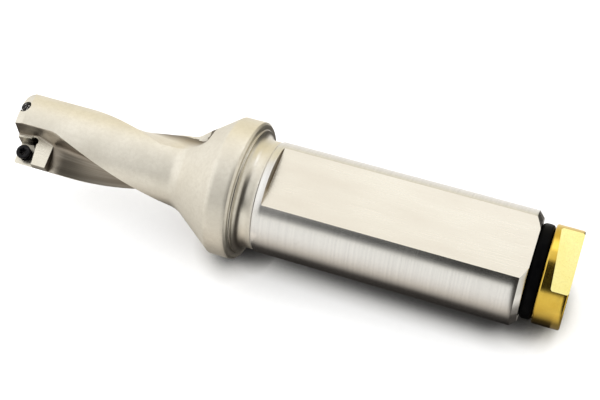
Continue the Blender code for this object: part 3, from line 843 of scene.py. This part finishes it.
def screw_mesh():
    """Countersunk screw with a six-lobed socket, on local +X, top of the head at x = 0."""
    seg = 72
    rows = []
    length = 4.75
    for x in steps_between(-length, -1.62, 0.045):
        ring = []
        for i in range(seg):
            t = i / seg
            taper = min(1.0, (x + length) / 0.22)
            fade = min(1.0, max(0.0, (-1.62 - x) / 0.30))
            r = 0.80 * (0.72 + 0.28 * taper) + thread(0.40, 0.25, x, t) * min(taper, 1.0) * fade
            ring.append((x, r, 360.0 * t))
        rows.append(ring)
    for x, r in ((-1.50, 0.84), (-1.20, 0.90), (-1.02, 1.00), (-0.70, 1.165), (-0.42, 1.315), (-0.36, 1.345),
                 (-0.30, 1.35), (-0.17, 1.35), (-0.10, 1.335), (-0.04, 1.29), (-0.01, 1.22), (0.0, 1.12),
                 (0.0, 0.98), (-0.008, 0.84)):
        rows.append([(x, r, 360.0 * i / seg) for i in range(seg)])
    # six-lobed socket with a sloping lip and a coned floor
    for x, grow, depth in ((-0.03, 0.10, 0.35), (-0.08, 0.04, 0.8), (-0.14, 0.0, 1.0), (-0.45, 0.0, 1.0), (-0.82, -0.01, 1.0)):
        ring = []
        for i in range(seg):
            a = 360.0 * i / seg
            lobe = 0.595 + 0.125 * depth * math.cos(math.radians(6.0 * a)) + 0.02 * depth * math.cos(math.radians(12.0 * a))
            ring.append((x, lobe + grow, a))
        rows.append(ring)
    rows.append([(-0.90, 0.40, 360.0 * i / seg) for i in range(seg)])
    bm = bmesh.new()
    made = []
    for ring in rows:
        made.append([bm.verts.new((x * MM, polar(r, a)[0] * MM, polar(r, a)[1] * MM)) for x, r, a in ring])
    for p, q in zip(made, made[1:]):
        for i in range(seg):
            j = (i + 1) % seg
            bm.faces.new((p[i], p[j], q[j], q[i]))
    for row, x in ((made[0], -length), (made[-1], -1.02)):
        hub = bm.verts.new((x * MM, 0.0, 0.0))
        for i in range(seg):
            bm.faces.new((row[i], row[(i + 1) % seg], hub))
    return bm


def place_screw(name, node, x, t, seat_h, flip, spin, paint_tip_glints):
    a = math.radians(SEAT_ANGLE)
    normal = Vector((0.0, flip * math.sin(a), flip * math.cos(a)))
    turn = normal.to_track_quat("X", "Z").to_matrix().to_4x4() @ Matrix.Rotation(math.radians(spin), 4, "X")
    spot = Matrix.Translation(Vector(plane_point(x, t, seat_h + SCREW_RISE, flip)) * MM)
    ob = new_object(name, screw_mesh(), [black, black_with_painted_glints] if paint_tip_glints else [black], sharp=38.0)
    # the faces at the thread's end take the material with painted glints
    if paint_tip_glints:
        for p in ob.data.polygons:
            if p.center.x < -4.3 * MM:
                p.material_index = 1
    return lay_down(ob, node, spot @ turn)


place_screw("outer_screw_surface", "outer_insert_screw", ox, ot, OUTER_SEAT_H, 1.0, 12.0, False)
place_screw("centre_screw_surface", "centre_insert_screw", mx, mt, CENTRE_SEAT_H, -1.0, 40.0, True)

# ----------------------------------------------------------------- seal ring
ring_points = []
for i in range(40):
    a = 2 * math.pi * i / 40
    c, d = math.cos(a), math.sin(a)
    ring_points.append((51.35 + 1.13 * math.copysign(abs(c) ** 0.62, c), 7.16 + 1.08 * math.copysign(abs(d) ** 0.72, d)))
seal = new_object("seal_ring_surface", revolve(ring_points, 192, 0.0, closed=True), [rubber], sharp=80.0)
lay_down(seal, "seal_ring")

# --------------------------------------------------------------------- plug
PLUG_R = 8.58
PLUG_FLAT_X = 53.85
PLUG_FLAT_H = 6.30
PLUG_FLAT_ANGLE = 26.0
plug_profile = [(42.5, 0.0), (42.5, 5.1), (43.1, 5.70), (46.0, 5.70), (49.0, 5.70), (52.46, 5.70), (52.5, 5.74),
                (52.5, 7.0), (52.5, 8.30), (52.54, 8.42), (52.64, 8.52), (52.78, PLUG_R)]
plug_profile += [(x, PLUG_R) for x in steps_between(52.78, 56.92, 0.5)[1:]]
plug_profile += [(57.10, 8.54), (57.24, 8.42), (57.30, 8.26), (57.30, 6.5), (57.30, 4.5), (57.30, 2.5), (57.30, 0.0)]
plug = new_object("plug", revolve(plug_profile, 192, 0.0), [brass_turned, brass_milled_lit])
edge_t = math.sqrt(PLUG_R ** 2 - PLUG_FLAT_H ** 2)
R = 0.40
LEAN = 0.085              # the collar is a little wider on one side of the flat


def flat_end(t):
    return PLUG_FLAT_X - LEAN * t


outline = [(60.0, -10.0), (flat_end(-edge_t) + R, -10.0), (flat_end(-edge_t) + R, -edge_t - 0.02)]
for i in range(1, 10):
    a = math.radians(270.0 - 90.0 * i / 10)
    outline.append((flat_end(-edge_t + R) + R + R * math.cos(a), -edge_t + R + R * math.sin(a)))
outline.append((flat_end(-edge_t + R), -edge_t + R + 0.02))
outline.append((flat_end(edge_t - R), edge_t - R - 0.02))
for i in range(1, 10):
    a = math.radians(180.0 - 90.0 * i / 10)
    outline.append((flat_end(edge_t - R) + R + R * math.cos(a), edge_t - R + R * math.sin(a)))
outline += [(flat_end(edge_t - R) + R, edge_t + 0.02), (flat_end(edge_t - R) + R, 10.0), (60.0, 10.0)]
save = target_materials
target_materials = [brass_turned, brass_milled_lit]
cuts = []
for turn in (0.0, 180.0):
    a = math.radians(PLUG_FLAT_ANGLE + turn)
    rings = []
    for h in (PLUG_FLAT_H, 12.0):
        rings.append([(x, h * math.sin(a) + t * math.cos(a), h * math.cos(a) - t * math.sin(a)) for x, t in outline])
    hubs = [(57.0, h * math.sin(a), h * math.cos(a)) for h in (PLUG_FLAT_H, 12.0)]
    cuts.append((loft(rings, hubs), 1))
carve(plug, cuts)
bm = bmesh.new()
bm.from_mesh(plug.data)
bmesh.ops.remove_doubles(bm, verts=bm.verts[:], dist=1e-6)
flat_ids = {f.index for f in bm.faces if f.material_index == 1}
edges = []
for e in bm.edges:
    if len(e.link_faces) == 2 and e.is_convex and e.calc_face_angle(0.0) > math.radians(22.0):
        if (e.link_faces[0].material_index == 1) or (e.link_faces[1].material_index == 1):
            edges.append(e)
bmesh.ops.bevel(bm, geom=edges, offset=0.09 * MM, offset_type="OFFSET", segments=2, profile=0.6, affect="EDGES",
                clamp_overlap=True, loop_slide=True)
data = plug.data
bpy.data.objects.remove(plug, do_unlink=True)
bpy.data.meshes.remove(data)
plug = new_object("coolant_plug_surface", bm, [brass_turned, brass_milled_lit], sharp=13.0)
a = math.radians(PLUG_FLAT_ANGLE)
for p in plug.data.polygons:
    if p.material_index == 1 and abs(p.normal.y * math.sin(a) + p.normal.z * math.cos(a)) > 0.995:
        p.use_smooth = False
target_materials = save
lay_down(plug, "coolant_plug")

# --------------------------------------------------------------------- camera
view = Matrix(((0.9372663, -0.2608697, 0.231255, 0.0568023),
               (0.269051, 0.9631176, -0.0039963, 0.0),
               (-0.2216832, 0.065965, 0.972885, 0.2017735),
               (0.0, 0.0, 0.0, 1.0)))
cam_data = bpy.data.cameras.new("camera")
camera = bpy.data.objects.new("camera", cam_data)
bpy.context.scene.collection.objects.link(camera)
camera.matrix_world = TOOL @ view
cam_data.sensor_width = 36.0
cam_data.lens = 71.014
cam_data.clip_start = 0.005
cam_data.clip_end = 20.0
bpy.context.scene.camera = camera

# ---------------------------------------------------------------------- floor
bm = bmesh.new()
bmesh.ops.create_grid(bm, x_segments=2, y_segments=2, size=3.0)
bmesh.ops.translate(bm, vec=(0.0, 0.0, -0.00002), verts=bm.verts[:])
floor = new_object("floor", bm)
n = Nodes("pale_floor", 0.0, 0.9, (0.9, 0.9, 0.9))
# painted shadow: an ambient-occlusion mask darkens the floor colour nearly to black where the drill lies on it and
# close beside it
near = n.tree.nodes.new("ShaderNodeAmbientOcclusion")
near.samples = 16
near.inputs["Distance"].default_value = 0.0055
soft = n.noise(n.scaled(1, 1, 1), 900.0, 2.0, 0.5)
pale = n.blend(n.ramp(soft, 0.3, 0.7), (0.90, 0.90, 0.90), (0.89, 0.89, 0.89))
shade = n.tree.nodes.new("ShaderNodeValToRGB")
n.link(near.outputs["AO"], shade.inputs[0])
shade.color_ramp.elements[0].position = 0.22
shade.color_ramp.elements[0].color = (0.045, 0.043, 0.041, 1.0)
shade.color_ramp.elements[1].position = 0.92
shade.color_ramp.elements[1].color = (1.0, 1.0, 1.0, 1.0)
for at, grey in ((0.36, 0.10), (0.46, 0.28), (0.58, 0.60), (0.72, 0.84)):
    shade.color_ramp.elements.new(at).color = (grey, grey * 0.995, grey * 0.985, 1.0)
mul = n.tree.nodes.new("ShaderNodeMix")
mul.data_type = "RGBA"
mul.blend_type = "MULTIPLY"
mul.inputs[0].default_value = 1.0
n.link(pale, mul.inputs[6])
n.link(shade.outputs[0], mul.inputs[7])
# painted shadow: a wider, weaker mask lays a faint grey on the floor under the raised head and round the drill
wide = n.tree.nodes.new("ShaderNodeAmbientOcclusion")
wide.samples = 12
wide.inputs["Distance"].default_value = 0.022
faint = n.blend(n.ramp(wide.outputs["AO"], 0.55, 0.97), (0.93, 0.93, 0.93), (1.0, 1.0, 1.0))
far_mul = n.tree.nodes.new("ShaderNodeMix")
far_mul.data_type = "RGBA"
far_mul.blend_type = "MULTIPLY"
far_mul.inputs[0].default_value = 1.0
n.link(mul.outputs[2], far_mul.inputs[6])
n.link(faint, far_mul.inputs[7])
n.colour(far_mul.outputs[2])
n.shader.inputs["Specular IOR Level"].default_value = 0.0
floor.data.materials.append(n.mat)
floor.visible_glossy = False

# --------------------------------------------------------------- studio light
world = bpy.data.worlds.new("studio")
bpy.context.scene.world = world
world.use_nodes = True
tree = world.node_tree
background = tree.nodes["Background"]
where = tree.nodes.new("ShaderNodeTexCoord").outputs["Generated"]
parts = tree.nodes.new("ShaderNodeSeparateXYZ")
tree.links.new(where, parts.inputs[0])


def world_math(op, a, b=None):
    node = tree.nodes.new("ShaderNodeMath")
    node.operation = op
    for k, v in enumerate((a, b)):
        if v is None:
            continue
        if isinstance(v, (int, float)):
            node.inputs[k].default_value = v
        else:
            tree.links.new(v, node.inputs[k])
    return node.outputs[0]


def wall(stops):
    """Colour of the tent by direction round the long axis: 0 is the tool's viewed side, + the far side."""
    node = tree.nodes.new("ShaderNodeValToRGB")
    tree.links.new(turn_share, node.inputs[0])
    table = node.color_ramp
    placed = sorted(((((a - ROLL) / 360.0 + 0.5) % 1.0), c) for a, c in stops)
    table.elements[0].position, table.elements[0].color = placed[0][0], (*placed[0][1], 1.0)
    table.elements[1].position, table.elements[1].color = placed[-1][0], (*placed[-1][1], 1.0)
    for at, c in placed[1:-1]:
        table.elements.new(at).color = (*c, 1.0)
    return node.outputs[0]


turn_share = world_math("ADD", world_math("DIVIDE", world_math("ARCTAN2", parts.outputs[1], parts.outputs[2]),
                                          2 * math.pi), 0.5)
low_side = [(-180.0, (0.30, 0.28, 0.25)), (-172.0, (0.030, 0.027, 0.024)), (-130.0, (0.035, 0.031, 0.028)),
            (-122.0, (0.10, 0.09, 0.08)), (-112.0, (0.35, 0.32, 0.28)), (-100.0, (0.62, 0.57, 0.50)),
            (-86.0, (0.80, 0.76, 0.70)), (-70.0, (0.93, 0.91, 0.86)), (-50.0, (0.95, 0.94, 0.89)),
            (-43.0, (0.88, 0.86, 0.80))]
far_side = [(55.0, (1.0, 0.98, 0.93)), (68.0, (0.95, 0.92, 0.84)), (82.0, (0.92, 0.85, 0.65)),
            (100.0, (0.88, 0.80, 0.58)), (118.0, (0.86, 0.80, 0.62)), (135.0, (0.88, 0.84, 0.74)),
            (150.0, (0.95, 0.92, 0.86)), (165.0, (1.0, 0.98, 0.94)), (174.0, (0.9, 0.88, 0.84))]
open_wall = wall(low_side + [(-38.0, (0.35, 0.35, 0.33)), (-31.0, (0.12, 0.12, 0.115)), (-23.0, (0.12, 0.12, 0.115)),
                             (-16.0, (0.60, 0.59, 0.55)), (-10.0, (0.92, 0.90, 0.86)), (4.0, (0.96, 0.95, 0.91)),
                             (18.0, (1.03, 1.02, 0.98)), (32.0, (1.05, 1.04, 1.01))] + far_side)
side_wall = wall(low_side[:-1] + [(-40.0, (0.84, 0.82, 0.77)), (-28.0, (0.92, 0.91, 0.87)), (-12.0, (1.06, 1.05, 1.02)),
                                  (10.0, (1.12, 1.12, 1.09)), (34.0, (1.10, 1.10, 1.08))] + far_side)
front_wall = wall([low_side[0], (-172.0, (0.014, 0.013, 0.012))] + low_side[2:]
                  + [(-38.0, (0.22, 0.22, 0.20)), (-32.0, (0.03, 0.03, 0.027)), (27.0, (0.02, 0.018, 0.015)),
                     (36.0, (0.95, 0.93, 0.88)), (53.0, (1.0, 0.98, 0.93)), (61.0, (1.75, 1.80, 1.90)),
                     (80.0, (1.70, 1.74, 1.84)), (94.0, (0.90, 0.83, 0.63))] + far_side[3:])
rear_wall = wall([(-180.0, (0.05, 0.045, 0.04)), (-120.0, (0.03, 0.026, 0.022)), (-45.0, (0.03, 0.026, 0.022)),
                  (14.0, (0.03, 0.027, 0.024)), (42.0, (0.80, 0.77, 0.70))] + far_side[:5]
                 + [(132.0, (0.45, 0.42, 0.34)), (146.0, (0.06, 0.055, 0.05)), (176.0, (0.05, 0.045, 0.04))])
edge = tree.nodes.new("ShaderNodeMapRange")
edge.interpolation_type = "SMOOTHSTEP"
tree.links.new(parts.outputs[0], edge.inputs["Value"])
edge.inputs["From Min"].default_value = -0.17
edge.inputs["From Max"].default_value = -0.07
both = tree.nodes.new("ShaderNodeMix")
both.data_type = "RGBA"
tree.links.new(edge.outputs[0], both.inputs[0])
tree.links.new(open_wall, both.inputs[6])
tree.links.new(front_wall, both.inputs[7])
rear_edge = tree.nodes.new("ShaderNodeMapRange")
rear_edge.interpolation_type = "SMOOTHSTEP"
tree.links.new(parts.outputs[0], rear_edge.inputs["Value"])
rear_edge.inputs["From Min"].default_value = 0.02
rear_edge.inputs["From Max"].default_value = 0.16
behind = tree.nodes.new("ShaderNodeMix")
behind.data_type = "RGBA"
tree.links.new(rear_edge.outputs[0], behind.inputs[0])
tree.links.new(both.outputs[2], behind.inputs[6])
tree.links.new(rear_wall, behind.inputs[7])
far_edge = tree.nodes.new("ShaderNodeMapRange")
far_edge.interpolation_type = "SMOOTHSTEP"
tree.links.new(parts.outputs[0], far_edge.inputs["Value"])
far_edge.inputs["From Min"].default_value = -0.36
far_edge.inputs["From Max"].default_value = -0.255
whole = tree.nodes.new("ShaderNodeMix")
whole.data_type = "RGBA"
tree.links.new(far_edge.outputs[0], whole.inputs[0])
tree.links.new(side_wall, whole.inputs[6])
back_edge = tree.nodes.new("ShaderNodeMapRange")
back_edge.interpolation_type = "SMOOTHSTEP"
tree.links.new(parts.outputs[0], back_edge.inputs["Value"])
back_edge.inputs["From Min"].default_value = 0.60
back_edge.inputs["From Max"].default_value = 0.80
back = tree.nodes.new("ShaderNodeMix")
back.data_type = "RGBA"
tree.links.new(back_edge.outputs[0], back.inputs[0])
tree.links.new(behind.outputs[2], back.inputs[6])
back.inputs[7].default_value = (0.78, 0.76, 0.70, 1.0)
tree.links.new(back.outputs[2], whole.inputs[7])
near_end = tree.nodes.new("ShaderNodeMapRange")
near_end.interpolation_type = "SMOOTHSTEP"
tree.links.new(parts.outputs[0], near_end.inputs["Value"])
near_end.inputs["From Min"].default_value = -0.48
near_end.inputs["From Max"].default_value = -0.60
tent = tree.nodes.new("ShaderNodeMix")
tent.data_type = "RGBA"
tree.links.new(near_end.outputs[0], tent.inputs[0])
tree.links.new(whole.outputs[2], tent.inputs[6])
end_wall = tree.nodes.new("ShaderNodeValToRGB")
tree.links.new(world_math("ADD", world_math("MULTIPLY", parts.outputs[2], 0.5), 0.5), end_wall.inputs[0])
stops = [(0.0, (0.50, 0.47, 0.42)), (0.10, (0.58, 0.555, 0.51)), (0.25, (0.70, 0.68, 0.635)), (0.50, (0.84, 0.82, 0.775)),
         (0.56, (0.95, 0.94, 0.90)), (0.62, (1.06, 1.05, 1.02))]
end_wall.color_ramp.elements[0].color = (*stops[0][1], 1.0)
end_wall.color_ramp.elements[1].color = (*stops[-1][1], 1.0)
end_wall.color_ramp.elements[1].position = stops[-1][0]
for at, c in stops[1:-1]:
    end_wall.color_ramp.elements.new(at).color = (*c, 1.0)
tree.links.new(end_wall.outputs[0], tent.inputs[7])
tree.links.new(tent.outputs[2], background.inputs[0])
background.inputs[1].default_value = 1.0
world.cycles_visibility.diffuse = False

dome = bpy.data.lights.new("dome", "SUN")
dome.energy = 5.6
dome.angle = math.radians(180.0)
dome_object = bpy.data.objects.new("dome", dome)
bpy.context.scene.collection.objects.link(dome_object)
dome_object.visible_glossy = False



def floor_card(name, x0, x1, depth, bright):
    """Pale card flat on the floor that is seen only in the metal above it."""
    card = bpy.data.lights.new(name, "AREA")
    card.shape = "RECTANGLE"
    card.size, card.size_y = x1 - x0, depth
    card.energy = bright * math.pi * card.size * card.size_y
    card.color = (1.0, 0.94, 0.85)
    ob = bpy.data.objects.new(name, card)
    ob.location = ((x0 + x1) / 2, 0.0, 0.00005)
    ob.rotation_euler = (math.pi, 0.0, 0.0)
    bpy.context.scene.collection.objects.link(ob)
    ob.visible_camera = False
    ob.visible_diffuse = False


floor_card("card_by_flange", -0.0185, -0.0085, 0.060, 0.22)
floor_card("card_by_plug", 0.0492, 0.0660, 0.060, 0.16)

bpy.context.scene.view_settings.view_transform = "Standard"
bpy.context.scene.view_settings.look = "None"
bpy.context.scene.view_settings.exposure = 0.0
bpy.context.scene.view_settings.gamma = 1.0
